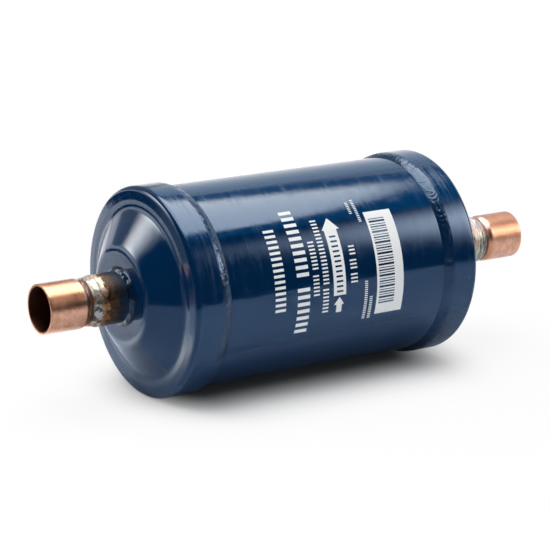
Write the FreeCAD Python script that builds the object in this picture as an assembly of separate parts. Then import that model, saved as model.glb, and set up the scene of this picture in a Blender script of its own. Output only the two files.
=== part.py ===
# Filter drier for a refrigerant liquid line: a welded steel drum lying on its side, with a copper
# solder socket brazed into the middle of each pressed end cap. Inside, a conical spring presses a
# moulded desiccant core against filter pads, a mesh screen and a perforated support plate.
#
# X runs along the flow, from the inlet to the outlet, and Z is up. The origin is on the flow axis,
# midway between the mouths of the two sockets. Lengths are in millimetres and angles in degrees.

import FreeCAD
import Part
import math
import os

Vector = FreeCAD.Vector

# Shell: the plain steel tube of the drum
SHELL_RADIUS = 36.5
SHELL_WALL = 1.5
SHELL_LENGTH = 112.0

# End caps: pressed from sheet, with a skirt that slips over the shell
CAP_WALL = 1.4
SKIRT_CLEARANCE = 0.1
SKIRT_OVERLAP = 5.7
SHELL_END_GAP = 2.6
KNEE_RADIUS = 2.0
SHOULDER_RISE = 0.5
SHOULDER_WIDTH = 4.7
CREST_FILLET = 3.0
RIM_WIDTH = 1.5
DOME_SLOPE = 32.4
DOME_FOOT_FILLET = 5.2
BOSS_LEDGE = 8.1
BOSS_FILLET = 6.0

# Seam welds: the fillet of weld metal between a cap's lip and the shell
SEAM_LENGTH = 4.1
SEAM_CROWN = 0.35

# Copper connectors: pipe of the line's own size, swaged at the mouth into a socket for that pipe
PIPE_RADIUS = 7.94
PIPE_WALL = 0.85
SOCKET_CLEARANCE = 0.06
SOCKET_DEPTH = 14.1
TAPER_LENGTH = 2.4
TAPER_FILLET = 2.0
MOUTH_ROUNDING = 0.2
NECK_SHOWING = 3.5
NECK_INSERTION = 9.0

# Steel nipples through the caps' bosses, each with a collar behind the sheet
NIPPLE_WALL = 1.2
NIPPLE_BORE_CLEARANCE = 0.06
NIPPLE_HOLE_CLEARANCE = 0.05
NIPPLE_TIP_ROUNDING = 0.45
INLET_REACH = 11.8
OUTLET_REACH = 16.4
COLLAR_WIDTH = 2.2
COLLAR_THICKNESS = 1.2

# Welds round the nipples, and brazed joints between the nipples and the copper
NIPPLE_WELD_WIDTH = 1.6
NIPPLE_WELD_HEIGHT = 1.7
NIPPLE_WELD_CROWN = 0.3
BRAZE_TAPER_GAP = 0.4
BRAZE_TIP_HEIGHT = 0.4
BRAZE_INSET = 0.3
BRAZE_CROWN = 0.15

# Sheet of the support plate and of the spring plate
PLATE_WALL = 1.2

# Support plate, screen and filter pad at the outlet end
SUPPORT_EDGE_GAP = 0.6
SUPPORT_HOLE_RADIUS = 2.2
SUPPORT_HOLE_PITCH = 6.6
SCREEN_THICKNESS = 0.6
SCREEN_PITCH = 5.4
SCREEN_WIRE = 1.5
OUTLET_PAD_THICKNESS = 6.0
PAD_EDGE_GAP = 0.3
PAD_ROUNDING = 0.8

# Desiccant core, and the felt ring that centres and seals its outlet end in the shell
CORE_ANNULUS = 2.0
CORE_ROUNDING = 2.0
CORE_BORE_RADIUS = 11.0
CORE_BORE_DRAFT = 2.5
CORE_BORE_ROUNDING = 1.0
CORE_BORE_END_ROUNDING = 5.0
CORE_CLOSED_END = 24.0
SEAL_WIDTH = 8.0
SEAL_GAP = 0.08

# Filter pad and spring plate at the inlet end
INLET_PAD_THICKNESS = 4.0
SPRING_PLATE_GAP = 1.4
SPRING_PLATE_RIM = 4.5
SPRING_PLATE_FILLET = 2.2
SPRING_HOLE_RADIUS = 2.6
SPRING_HOLE_PITCH = 8.0

# Conical spring, ground flat at both ends: wide on the plate, narrow round the inlet nipple's collar
WIRE_RADIUS = 1.2
SPRING_LENGTH = 34.6
SPRING_TURNS = 3.5
SPRING_RIM_GAP = 2.3
SPRING_COLLAR_GAP = 0.3
GROUND_DEPTH = 0.6

# How far a cutting tool runs past the face that it cuts
OVERRUN = 1.0

# Radii that follow from the sizes above
shell_bore = SHELL_RADIUS - SHELL_WALL
cap_radius = SHELL_RADIUS + SKIRT_CLEARANCE + CAP_WALL
socket_bore = PIPE_RADIUS + SOCKET_CLEARANCE
socket_radius = socket_bore + PIPE_WALL
nipple_bore = PIPE_RADIUS + NIPPLE_BORE_CLEARANCE
nipple_radius = nipple_bore + NIPPLE_WALL
collar_radius = nipple_radius + COLLAR_WIDTH
boss_radius = nipple_radius + BOSS_LEDGE
crest_radius = cap_radius - SHOULDER_WIDTH
rim_inner_radius = crest_radius - RIM_WIDTH
dome_foot_radius = rim_inner_radius - DOME_FOOT_FILLET * math.tan(math.radians(DOME_SLOPE / 2))
support_radius = crest_radius - SUPPORT_EDGE_GAP
pad_radius = shell_bore - PAD_EDGE_GAP
core_radius = shell_bore - CORE_ANNULUS
spring_plate_radius = shell_bore - SPRING_PLATE_GAP
spring_wide_radius = (
    spring_plate_radius - PLATE_WALL - SPRING_PLATE_FILLET - SPRING_RIM_GAP - WIRE_RADIUS
)
spring_narrow_radius = collar_radius + SPRING_COLLAR_GAP + WIRE_RADIUS

# Places along the axis, as distances from the middle of the shell towards either end
lip_plane = SHELL_LENGTH / 2 - SKIRT_OVERLAP
knee_plane = SHELL_LENGTH / 2 + SHELL_END_GAP + KNEE_RADIUS
face_plane = knee_plane + SHOULDER_RISE
boss_plane = face_plane + (dome_foot_radius - boss_radius) * math.tan(math.radians(DOME_SLOPE))
face_inside = face_plane - CAP_WALL
boss_inside = boss_plane - CAP_WALL
nipple_tip = {"inlet": boss_plane + INLET_REACH, "outlet": boss_plane + OUTLET_REACH}
taper_end = {side: tip + NECK_SHOWING for side, tip in nipple_tip.items()}
taper_start = {side: end + TAPER_LENGTH for side, end in taper_end.items()}
mouth = {side: start + SOCKET_DEPTH for side, start in taper_start.items()}

# The stack inside, from its seat on the outlet cap's rim back to the inlet, as places on X from
# the middle of the shell
support_front = face_inside - PLATE_WALL
screen_front = support_front - SCREEN_THICKNESS
core_back = screen_front - OUTLET_PAD_THICKNESS
spring_plate_front = SPRING_LENGTH - boss_inside
inlet_pad_front = spring_plate_front + PLATE_WALL
core_front = inlet_pad_front + INLET_PAD_THICKNESS

# Where the middle of the shell is, with the origin midway between the mouths
shell_middle = (mouth["inlet"] - mouth["outlet"]) / 2


def unit(start, end):
    """The direction from one (x, r) point to another, as (dx, dr)."""
    length = math.dist(start, end)
    return (end[0] - start[0]) / length, (end[1] - start[1]) / length


def outline(corners):
    """A closed wire in the XZ plane through (x, r, fillet) corners, each rounded by its fillet."""
    count = len(corners)
    stops = []
    for i, (x, r, fillet) in enumerate(corners):
        if fillet <= 0:
            stops.append([Vector(x, 0, r)])
            continue
        back = unit((x, r), corners[i - 1][:2])
        ahead = unit((x, r), corners[(i + 1) % count][:2])
        half = math.acos(back[0] * ahead[0] + back[1] * ahead[1]) / 2
        middle = unit((0, 0), (back[0] + ahead[0], back[1] + ahead[1]))
        reach = fillet / math.tan(half)
        depth = fillet / math.sin(half) - fillet
        stops.append([
            Vector(x + back[0] * reach, 0, r + back[1] * reach),
            Vector(x + middle[0] * depth, 0, r + middle[1] * depth),
            Vector(x + ahead[0] * reach, 0, r + ahead[1] * reach),
        ])
    edges = []
    for i, points in enumerate(stops):
        if len(points) == 3:
            edges.append(Part.Arc(*points).toShape())
        edges.append(Part.LineSegment(points[-1], stops[(i + 1) % count][0]).toShape())
    return Part.Wire(edges)


def revolved(wire):
    """The solid that a closed wire in the XZ plane sweeps in a full turn about the X axis."""
    return Part.Face(wire).revolve(Vector(0, 0, 0), Vector(1, 0, 0), 360)


def turned(corners):
    """A solid of revolution about the X axis, from (x, r, fillet) corners."""
    return revolved(outline(corners))


def sheet(path, wall):
    """Corners of a pressed sheet, from one face's path of (x, r, fillet) and the wall beside it.

    The other face lies to the right of the path, or to its left where wall is negative, and the
    two faces of each bend share one centre.
    """
    last = len(path) - 1
    other = []
    for i, (x, r, fillet) in enumerate(path):
        before = unit(path[max(i - 1, 0)][:2], path[max(i, 1)][:2])
        after = unit(path[min(i, last - 1)][:2], path[min(i + 1, last)][:2])
        side = unit((0, 0), (before[1] + after[1], -before[0] - after[0]))
        shift = wall / (side[0] * after[1] - side[1] * after[0])
        turn = before[0] * after[1] - before[1] * after[0]
        bend = fillet + math.copysign(wall, turn * wall) if fillet > 0 else 0
        other.append((x + side[0] * shift, r + side[1] * shift, bend))
    return path + other[::-1]


def bead(start, end, base_radius, crown):
    """A ring of weld metal on a cylinder of base_radius, with a crowned face from start to end.

    start and end are (x, r), and the face stands proud of the straight line between them by crown.
    """
    along = unit(start, end)
    middle = ((start[0] + end[0]) / 2 - along[1] * crown, (start[1] + end[1]) / 2 + along[0] * crown)
    corners = [end, (end[0], base_radius), (start[0], base_radius), start]
    edges = [Part.Arc(*[Vector(x, 0, r) for x, r in (start, middle, end)]).toShape()]
    for a, b in zip(corners, corners[1:]):
        if a != b:
            edges.append(Part.LineSegment(Vector(a[0], 0, a[1]), Vector(b[0], 0, b[1])).toShape())
    return revolved(Part.Wire(edges))


def in_shell(shape):
    """Moves a piece made about the middle of the shell to its place in the drier."""
    shape.translate(Vector(shell_middle, 0, 0))
    return shape


def at_end(shape, side):
    """Moves a piece made for the outlet end about the shell's middle to its own end of the drier."""
    if side == "inlet":
        shape.rotate(Vector(0, 0, 0), Vector(0, 0, 1), 180)
    return in_shell(shape)


def disc(front, back, radius, rounding=0):
    """Corners of a round plate on the axis, with its rim's edges rounded."""
    return [(front, 0, 0), (front, radius, rounding), (back, radius, rounding), (back, 0, 0)]


def pierced(plate, front, openings):
    """The plate with each opening cut through it: a list of tools that start at the X of 0."""
    for tool in openings:
        tool.translate(Vector(front - OVERRUN, 0, 0))
    return plate.cut(Part.Compound(openings))


def round_holes(length, radius, pitch, limit):
    """Drills along X in a triangular grid, for the hole centres that lie within limit of the axis."""
    rows = int(limit / pitch) + 2
    drills = []
    for row in range(-rows, rows + 1):
        for column in range(-rows, rows + 1):
            y = (column + 0.5 * (row % 2)) * pitch
            z = row * pitch * math.sqrt(3) / 2
            if math.hypot(y, z) <= limit:
                drills.append(Part.makeCylinder(radius, length, Vector(0, y, z), Vector(1, 0, 0)))
    return drills


def square_holes(length, width, pitch, limit):
    """Square drills along X in a square grid, for the centres that lie within limit of the axis."""
    rows = int(limit / pitch) + 1
    drills = []
    for row in range(-rows, rows + 1):
        for column in range(-rows, rows + 1):
            y = column * pitch
            z = row * pitch
            if math.hypot(y, z) <= limit:
                drills.append(Part.makeBox(length, width, width, Vector(0, y - width / 2, z - width / 2)))
    return drills


def shell():
    """The drum's tube."""
    end = SHELL_LENGTH / 2
    return in_shell(turned([
        (-end, shell_bore, 0),
        (-end, SHELL_RADIUS, 0),
        (end, SHELL_RADIUS, 0),
        (end, shell_bore, 0),
    ]))


def cap(side):
    """A pressed cap: skirt, tight knee, shoulder that rises a little to a flat rim, conical dome, and
    flat boss with a hole in it."""
    return at_end(turned(sheet([
        (lip_plane, cap_radius, 0),
        (knee_plane, cap_radius, KNEE_RADIUS),
        (face_plane, crest_radius, CREST_FILLET),
        (face_plane, dome_foot_radius, DOME_FOOT_FILLET),
        (boss_plane, boss_radius, BOSS_FILLET),
        (boss_plane, nipple_radius + NIPPLE_HOLE_CLEARANCE, 0),
    ], CAP_WALL)), side)


def seam_weld(side):
    """The weld from a cap's lip down to the shell."""
    toe = (lip_plane - SEAM_LENGTH, SHELL_RADIUS)
    top = (lip_plane, cap_radius)
    return at_end(bead(toe, top, SHELL_RADIUS, SEAM_CROWN), side)


def nipple(side):
    """The steel tube through a cap's boss, with its collar against the inside of the sheet."""
    return at_end(turned([
        (boss_inside - COLLAR_THICKNESS, nipple_bore, 0),
        (boss_inside - COLLAR_THICKNESS, collar_radius, 0),
        (boss_inside, collar_radius, 0),
        (boss_inside, nipple_radius, 0),
        (nipple_tip[side], nipple_radius, NIPPLE_TIP_ROUNDING),
        (nipple_tip[side], nipple_bore, 0),
    ]), side)


def nipple_weld(side):
    """The weld from a nipple down to the boss."""
    top = (boss_plane + NIPPLE_WELD_HEIGHT, nipple_radius)
    toe = (boss_plane, nipple_radius + NIPPLE_WELD_WIDTH)
    return at_end(bead(toe, top, nipple_radius, NIPPLE_WELD_CROWN), side)


def connector(side):
    """The copper fitting: a socket at the mouth, a taper, and a neck that ends inside the nipple."""
    neck_end = nipple_tip[side] - NECK_INSERTION
    return at_end(turned([
        (neck_end, PIPE_RADIUS, 0),
        (taper_end[side], PIPE_RADIUS, TAPER_FILLET),
        (taper_start[side], socket_radius, TAPER_FILLET),
        (mouth[side], socket_radius, MOUTH_ROUNDING),
        (mouth[side], socket_bore, MOUTH_ROUNDING),
        (taper_start[side], socket_bore, 0),
        (taper_end[side], PIPE_RADIUS - PIPE_WALL, 0),
        (neck_end, PIPE_RADIUS - PIPE_WALL, 0),
    ]), side)


def braze_joint(side):
    """The filler metal on the neck, from the nipple's tip towards the socket's taper."""
    foot = (nipple_tip[side], nipple_radius - BRAZE_INSET)
    top = (taper_end[side] - BRAZE_TAPER_GAP, PIPE_RADIUS + BRAZE_TIP_HEIGHT)
    return at_end(bead(foot, top, PIPE_RADIUS, BRAZE_CROWN), side)


def support_plate():
    """The perforated plate on the outlet cap's rim, which the whole stack is pressed against."""
    plate = turned(disc(support_front, face_inside, support_radius))
    limit = support_radius - SUPPORT_HOLE_PITCH / 2 - SUPPORT_HOLE_RADIUS
    holes = round_holes(PLATE_WALL + 2 * OVERRUN, SUPPORT_HOLE_RADIUS, SUPPORT_HOLE_PITCH, limit)
    return in_shell(pierced(plate, support_front, holes))


def outlet_screen():
    """The mesh disc between the outlet pad and the support plate."""
    plate = turned(disc(screen_front, support_front, support_radius))
    limit = support_radius - SCREEN_PITCH
    holes = square_holes(SCREEN_THICKNESS + 2 * OVERRUN, SCREEN_PITCH - SCREEN_WIRE, SCREEN_PITCH, limit)
    return in_shell(pierced(plate, screen_front, holes))


def outlet_filter_pad():
    """The thick filter pad that covers the core's outlet end from wall to wall."""
    return in_shell(turned(disc(core_back, screen_front, pad_radius, PAD_ROUNDING)))


def desiccant_core():
    """The moulded core: rounded edges, and a tapered blind bore that opens at the outlet end."""
    floor = core_front + CORE_CLOSED_END
    floor_radius = CORE_BORE_RADIUS - (core_back - floor) * math.tan(math.radians(CORE_BORE_DRAFT))
    return in_shell(turned([
        (core_front, 0, 0),
        (core_front, core_radius, CORE_ROUNDING),
        (core_back, core_radius, CORE_ROUNDING),
        (core_back, CORE_BORE_RADIUS, CORE_BORE_ROUNDING),
        (floor, floor_radius, CORE_BORE_END_ROUNDING),
        (floor, 0, 0),
    ]))


def core_seal_ring():
    """The felt ring round the core's outlet end, which sends the flow through the core."""
    inner = core_radius + SEAL_GAP
    outer = shell_bore - SEAL_GAP
    return in_shell(turned([
        (core_back - SEAL_WIDTH, inner, 0),
        (core_back - SEAL_WIDTH, outer, 0),
        (core_back, outer, 0),
        (core_back, inner, 0),
    ]))


def inlet_filter_pad():
    """The thin filter pad between the spring plate and the core."""
    return in_shell(turned(disc(inlet_pad_front, core_front, core_radius, PAD_ROUNDING)))


def spring_plate():
    """The perforated dish that spreads the spring's force over the inlet pad."""
    dish = turned(sheet([
        (inlet_pad_front, 0, 0),
        (inlet_pad_front, spring_plate_radius, SPRING_PLATE_FILLET),
        (spring_plate_front - SPRING_PLATE_RIM, spring_plate_radius, 0),
    ], -PLATE_WALL))
    limit = spring_plate_radius - PLATE_WALL - SPRING_PLATE_FILLET - SPRING_HOLE_RADIUS
    holes = round_holes(PLATE_WALL + 2 * OVERRUN, SPRING_HOLE_RADIUS, SPRING_HOLE_PITCH, limit)
    return in_shell(pierced(dish, spring_plate_front, holes))


def spring():
    """The conical spring, from its seat in the inlet cap's boss to its seat on the spring plate."""
    coil_length = SPRING_LENGTH - 2 * (WIRE_RADIUS - GROUND_DEPTH)
    widening = spring_wide_radius - spring_narrow_radius
    slant = math.hypot(coil_length, widening)
    slope = math.degrees(math.atan2(widening, coil_length))
    path = Part.makeHelix(slant / SPRING_TURNS, slant, spring_narrow_radius, slope)
    wire_end = Part.Wire(Part.makeCircle(WIRE_RADIUS, Vector(spring_narrow_radius, 0, 0), Vector(0, 1, 0)))
    coil = Part.Wire(path.Edges).makePipeShell([wire_end], True, True)
    coil.rotate(Vector(0, 0, 0), Vector(0, 1, 0), 90)
    coil.translate(Vector(WIRE_RADIUS - GROUND_DEPTH - boss_inside, 0, 0))
    between_seats = Part.makeCylinder(shell_bore, SPRING_LENGTH, Vector(-boss_inside, 0, 0), Vector(1, 0, 0))
    return in_shell(coil.common(between_seats))


def pieces():
    """Every separate piece of the drier, by name."""
    made = {
        "shell": shell(),
        "support_plate": support_plate(),
        "outlet_screen": outlet_screen(),
        "outlet_filter_pad": outlet_filter_pad(),
        "core_seal_ring": core_seal_ring(),
        "desiccant_core": desiccant_core(),
        "inlet_filter_pad": inlet_filter_pad(),
        "spring_plate": spring_plate(),
        "spring": spring(),
    }
    for side in ("inlet", "outlet"):
        made[side + "_cap"] = cap(side)
        made[side + "_seam_weld"] = seam_weld(side)
        made[side + "_nipple"] = nipple(side)
        made[side + "_nipple_weld"] = nipple_weld(side)
        made[side + "_connector"] = connector(side)
        made[side + "_braze_joint"] = braze_joint(side)
    return made


os.makedirs("parts", exist_ok=True)
for name, shape in pieces().items():
    shape.exportStep("parts/" + name + ".step")
    print(name, "solids", len(shape.Solids), "valid", shape.isValid(), "volume", round(shape.Volume, 1))
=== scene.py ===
# The looks of the filter drier: a navy painted drum with two copper sockets, lying on a pale floor
# in soft studio light. X runs along the flow, from the inlet to the outlet, and Z is up. Lengths are
# in metres and angles in degrees. Places along the axis are distances from the middle of the drum,
# out towards either end. Angles round the axis start at the side that faces the camera and rise
# over the top.
import math

import bpy
import bmesh
from mathutils import Euler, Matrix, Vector, noise


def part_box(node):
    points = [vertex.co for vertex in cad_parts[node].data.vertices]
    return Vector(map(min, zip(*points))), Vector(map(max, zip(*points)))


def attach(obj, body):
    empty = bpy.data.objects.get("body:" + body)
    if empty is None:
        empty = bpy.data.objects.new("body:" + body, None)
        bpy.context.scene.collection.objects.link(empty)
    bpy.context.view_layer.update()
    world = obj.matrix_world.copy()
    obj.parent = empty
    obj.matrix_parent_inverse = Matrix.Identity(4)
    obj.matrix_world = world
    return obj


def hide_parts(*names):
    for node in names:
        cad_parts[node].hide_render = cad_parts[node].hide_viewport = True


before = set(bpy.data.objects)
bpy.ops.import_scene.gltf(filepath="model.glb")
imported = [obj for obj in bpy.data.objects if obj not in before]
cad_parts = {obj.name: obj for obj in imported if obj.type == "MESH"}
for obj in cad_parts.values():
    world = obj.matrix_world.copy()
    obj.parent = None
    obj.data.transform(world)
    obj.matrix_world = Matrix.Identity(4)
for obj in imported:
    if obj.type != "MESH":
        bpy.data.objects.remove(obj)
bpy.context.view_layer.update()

# Sizes of the sheet, the fittings and the joints between them
SHELL_WALL = 0.0015
CAP_WALL = 0.0014
SKIRT_REACH = 0.0103
KNEE_RADIUS = 0.002
SHOULDER_RISE = 0.0005
SHOULDER_WIDTH = 0.0047
CREST_FILLET = 0.003
DOME_SLOPE = 32.4
DOME_FOOT_FILLET = 0.0052
BOSS_LEDGE = 0.0081
BOSS_FILLET = 0.006
SEAM_LENGTH = 0.0041
SEAM_CROWN = 0.00035
NIPPLE_RADIUS = 0.0092
NIPPLE_BORE = 0.0080
NIPPLE_HOLE_CLEARANCE = 0.00005
NIPPLE_TIP_ROUNDING = 0.00045
COLLAR_WIDTH = 0.0022
COLLAR_THICKNESS = 0.0012
NIPPLE_WELD_WIDTH = 0.0016
NIPPLE_WELD_HEIGHT = 0.0017
NIPPLE_WELD_CROWN = 0.0003
PIPE_RADIUS = 0.00794
PIPE_WALL = 0.00085
SOCKET_BORE = 0.0080
TAPER_LENGTH = 0.0024
TAPER_FILLET = 0.002
MOUTH_ROUNDING = 0.0002
NECK_SHOWING = 0.0035
BRAZE_TAPER_GAP = 0.0004
BRAZE_TIP_HEIGHT = 0.0004
BRAZE_INSET = 0.0003
BRAZE_CROWN = 0.00015

# How finely the turned pieces are divided: steps in a full turn, in a rounded corner and across a
# bead's face, and the longest stretch of each profile
DRUM_STEPS = 480
SEAM_STEPS = 960
FITTING_STEPS = 256
CORNER_STEPS = 10
BEAD_STEPS = 24
SHELL_STRETCH = 0.004
CAP_STRETCH = 0.0016
NIPPLE_STRETCH = 0.002
SOCKET_STRETCH = 0.0012

# Edges that turn by more degrees than this stay sharp
SHARP_TURN = 35

# The ripples of the seam welds, and the lumps of the metal that flowed round the nipples' feet and
# round the joints; each seed gives a piece its own pattern
RIPPLE_PITCH = {"inlet": 0.0040, "outlet": 0.0027}
RIPPLE_HEIGHT = {"inlet": 0.00017, "outlet": 0.00018}
RIPPLE_SEED = {"inlet": 3.0, "outlet": 9.0}
LUMP_HEIGHT = 0.0003
NIPPLE_WELD_FINENESS = 4
NIPPLE_WELD_SEED = {"inlet": 5.0, "outlet": 6.0}
BRAZE_FINENESS = 3
BRAZE_SEED = {"inlet": 15.0, "outlet": 16.0}

# Which way each end lies from the middle, along X
OUTWARD = {"inlet": -1, "outlet": 1}

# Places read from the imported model
shell_low, shell_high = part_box("shell")
cap_low, cap_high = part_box("outlet_cap")
middle = (shell_low.x + shell_high.x) / 2
shell_end = shell_high.x - middle
shell_radius = shell_high.z
cap_radius = cap_high.z
lip_plane = cap_low.x - middle
boss_plane = cap_high.x - middle
knee_plane = lip_plane + SKIRT_REACH
face_plane = knee_plane + SHOULDER_RISE
nipple_tip = {
    "inlet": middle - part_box("inlet_nipple")[0].x,
    "outlet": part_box("outlet_nipple")[1].x - middle,
}
mouth = {
    "inlet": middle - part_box("inlet_connector")[0].x,
    "outlet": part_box("outlet_connector")[1].x - middle,
}
neck_end = {
    "inlet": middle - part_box("inlet_connector")[1].x,
    "outlet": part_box("outlet_connector")[0].x - middle,
}
crest_radius = cap_radius - SHOULDER_WIDTH
boss_radius = NIPPLE_RADIUS + BOSS_LEDGE
dome_foot_radius = boss_radius + (boss_plane - face_plane) / math.tan(math.radians(DOME_SLOPE))
socket_radius = SOCKET_BORE + PIPE_WALL
floor_height = -cap_radius


def unit(start, end):
    """The direction from one (x, r) point to another."""
    length = math.dist(start, end)
    return (end[0] - start[0]) / length, (end[1] - start[1]) / length


def rounded(corners):
    """The (x, r) points of a closed profile through (x, r, fillet) corners."""
    points = []
    for i, (x, r, fillet) in enumerate(corners):
        if fillet <= 0:
            points.append((x, r))
            continue
        back = unit((x, r), corners[i - 1][:2])
        ahead = unit((x, r), corners[(i + 1) % len(corners)][:2])
        half = math.acos(back[0] * ahead[0] + back[1] * ahead[1]) / 2
        inward = unit((0, 0), (back[0] + ahead[0], back[1] + ahead[1]))
        centre = (x + inward[0] * fillet / math.sin(half), r + inward[1] * fillet / math.sin(half))
        reach = fillet / math.tan(half)
        first = math.atan2(r + back[1] * reach - centre[1], x + back[0] * reach - centre[0])
        last = math.atan2(r + ahead[1] * reach - centre[1], x + ahead[0] * reach - centre[0])
        sweep = (last - first + math.pi) % (2 * math.pi) - math.pi
        for step in range(CORNER_STEPS + 1):
            angle = first + sweep * step / CORNER_STEPS
            points.append((centre[0] + fillet * math.cos(angle), centre[1] + fillet * math.sin(angle)))
    return points


def sheet(path, wall):
    """Corners of a pressed sheet: a path of (x, r, fillet) corners, and the same path under the wall."""
    last = len(path) - 1
    under = []
    for i, (x, r, fillet) in enumerate(path):
        before = unit(path[max(i - 1, 0)][:2], path[max(i, 1)][:2])
        after = unit(path[min(i, last - 1)][:2], path[min(i + 1, last)][:2])
        side = unit((0, 0), (before[1] + after[1], -before[0] - after[0]))
        shift = wall / (side[0] * after[1] - side[1] * after[0])
        turn = before[0] * after[1] - before[1] * after[0]
        bend = fillet + math.copysign(wall, turn) if fillet > 0 else 0
        under.append((x + side[0] * shift, r + side[1] * shift, bend))
    return path + under[::-1]


def bead(start, end, base_radius, crown):
    """The (x, r) points of a weld or solder ring with a crowned face from start to end."""
    along = unit(start, end)
    length = math.dist(start, end)
    points = []
    for step in range(BEAD_STEPS + 1):
        share = step / BEAD_STEPS
        rise = crown * 4 * share * (1 - share)
        points.append((
            start[0] + along[0] * length * share - along[1] * rise,
            start[1] + along[1] * length * share + along[0] * rise,
        ))
    if end[1] > base_radius:
        points.append((end[0], base_radius))
    if start[1] > base_radius:
        points.append((start[0], base_radius))
    return points


def finely(points, longest):
    """The closed profile with its long stretches divided, so that no step is over the longest."""
    divided = []
    for start, end in zip(points, points[1:] + points[:1]):
        parts = max(1, math.ceil(math.dist(start, end) / longest))
        for part in range(parts):
            share = part / parts
            divided.append((start[0] + (end[0] - start[0]) * share, start[1] + (end[1] - start[1]) * share))
    return divided


def lathe(name, points, side, steps, relief=None):
    """A ring turned about the axis from a closed profile of (x, r) points.

    relief gives how far a point stands out from the plain profile, from its number in the profile
    and its angle.
    """
    count = len(points)
    normals = []
    for i in range(count):
        along = unit(points[i - 1], points[(i + 1) % count])
        normals.append((-along[1], along[0]))
    made = bmesh.new()
    rings = []
    for step in range(steps):
        angle = 2 * math.pi * step / steps
        ring = []
        for i, (x, r) in enumerate(points):
            if relief:
                out = relief(i, angle)
                x += normals[i][0] * out
                r += normals[i][1] * out
            ring.append(made.verts.new((
                middle + OUTWARD[side] * x, -r * math.cos(angle), r * math.sin(angle)
            )))
        rings.append(ring)
    for step in range(steps):
        here, there = rings[step], rings[(step + 1) % steps]
        for i in range(count):
            j = (i + 1) % count
            made.faces.new((here[i], here[j], there[j], there[i]))
    return piece(name, made)


def piece(name, made):
    """The finished mesh object, with outward faces, smooth but for its sharp corners."""
    bmesh.ops.recalc_face_normals(made, faces=made.faces)
    mesh = bpy.data.meshes.new(name)
    made.to_mesh(mesh)
    made.free()
    mesh.shade_smooth()
    mesh.set_sharp_from_angle(angle=math.radians(SHARP_TURN))
    thing = bpy.data.objects.new(name, mesh)
    bpy.context.collection.objects.link(thing)
    return thing


def fit(thing, finish, slot=None, *nodes):
    """Dresses a piece, and lets it stand for CAD nodes in the frame."""
    thing.data.materials.append(finish)
    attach(thing, "root")
    if nodes:
        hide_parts(*nodes)


class Term:
    """A shader socket that Python's operators turn into Math nodes."""

    def __init__(self, graph, socket):
        self.graph = graph
        self.socket = socket

    def __add__(self, other):
        return self.graph.math("ADD", self, other)

    def __radd__(self, other):
        return self.graph.math("ADD", other, self)

    def __sub__(self, other):
        return self.graph.math("SUBTRACT", self, other)

    def __rsub__(self, other):
        return self.graph.math("SUBTRACT", other, self)

    def __mul__(self, other):
        return self.graph.math("MULTIPLY", self, other)

    def __rmul__(self, other):
        return self.graph.math("MULTIPLY", other, self)

    def __pow__(self, other):
        return self.graph.math("POWER", self, other)

    def __abs__(self):
        return self.graph.math("ABSOLUTE", self)

    def between(self, low, high):
        """0 below low and 1 above high, with a smooth rise."""
        return self.graph.node(
            "ShaderNodeMapRange",
            {"interpolation_type": "SMOOTHSTEP"},
            {"Value": self, "From Min": low, "From Max": high},
        )


class Graph:
    """The nodes of one material or of the world."""

    def __init__(self, owner):
        owner.use_nodes = True
        self.owner = owner
        self.tree = owner.node_tree
        self.tree.nodes.clear()

    def node(self, kind, settings=None, inputs=None, output=0):
        """Adds a node with its settings, then the values or links of its sockets."""
        made = self.tree.nodes.new(kind)
        for name, value in (settings or {}).items():
            setattr(made, name, value)
        for name, value in (inputs or {}).items():
            socket = made.inputs[name]
            if isinstance(value, Term):
                self.tree.links.new(value.socket, socket)
            elif socket.type == "RGBA" and len(value) == 3:
                socket.default_value = (*value, 1)
            else:
                socket.default_value = value
        return Term(self, made.outputs[output]) if made.outputs else None

    def math(self, operation, *values):
        return self.node("ShaderNodeMath", {"operation": operation}, dict(enumerate(values)))

    def blend(self, mask, without, full):
        """A colour that goes from one to the other as the mask goes from 0 to 1."""
        return self.node("ShaderNodeMix", {"data_type": "RGBA"}, {0: mask, 6: without, 7: full}, output=2)

    def place(self):
        """The point on the surface, in the frame of the drier."""
        return self.node("ShaderNodeTexCoord", output="Object")

    def stretched(self, point, scale):
        return self.node("ShaderNodeVectorMath", {"operation": "MULTIPLY"}, {0: point, 1: scale})

    def noise(self, point, scale, detail=2.0, roughness=0.5):
        """Cloudy noise about 0.5; a scale of three numbers stretches it."""
        if isinstance(scale, tuple):
            point = self.stretched(point, scale)
            scale = 1.0
        return self.node(
            "ShaderNodeTexNoise", None,
            {"Vector": point, "Scale": scale, "Detail": detail, "Roughness": roughness},
        )

    def coordinate(self, point, axis):
        """One coordinate of a point: X, Y or Z."""
        return self.node("ShaderNodeSeparateXYZ", None, {0: point}, output=axis)

    def axial(self, point):
        """The distance from the middle of the drum along the axis."""
        return abs(self.coordinate(point, "X") - middle)

    def radius(self, point):
        """The distance from the axis."""
        across = self.stretched(point, (0.0, 1.0, 1.0))
        return self.node("ShaderNodeVectorMath", {"operation": "LENGTH"}, {0: across}, output="Value")

    def ray(self, kind):
        """1 for what is seen by a Camera, Glossy or Transmission ray, and 0 for any other."""
        return self.node("ShaderNodeLightPath", output=f"Is {kind} Ray")

    def bump(self, height, depth):
        """A normal tipped by a height of 0 to 1, where 1 stands the depth proud."""
        return self.node("ShaderNodeBump", None, {"Height": height, "Strength": 1.0, "Distance": depth})

    def surface(self, inputs):
        """Ends the material with a Principled shader."""
        shader = self.node("ShaderNodeBsdfPrincipled", None, inputs)
        self.node("ShaderNodeOutputMaterial", None, {"Surface": shader})
        return self.owner


def material(name):
    return Graph(bpy.data.materials.new(name))


# The enamel: how it mirrors, and its own tint in that, which is lost at a glancing angle
ENAMEL_IOR = 1.5
ENAMEL_MIRROR = 0.82
BLUE_SHEEN = (0.50, 0.68, 1.0, 1.0)

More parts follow.
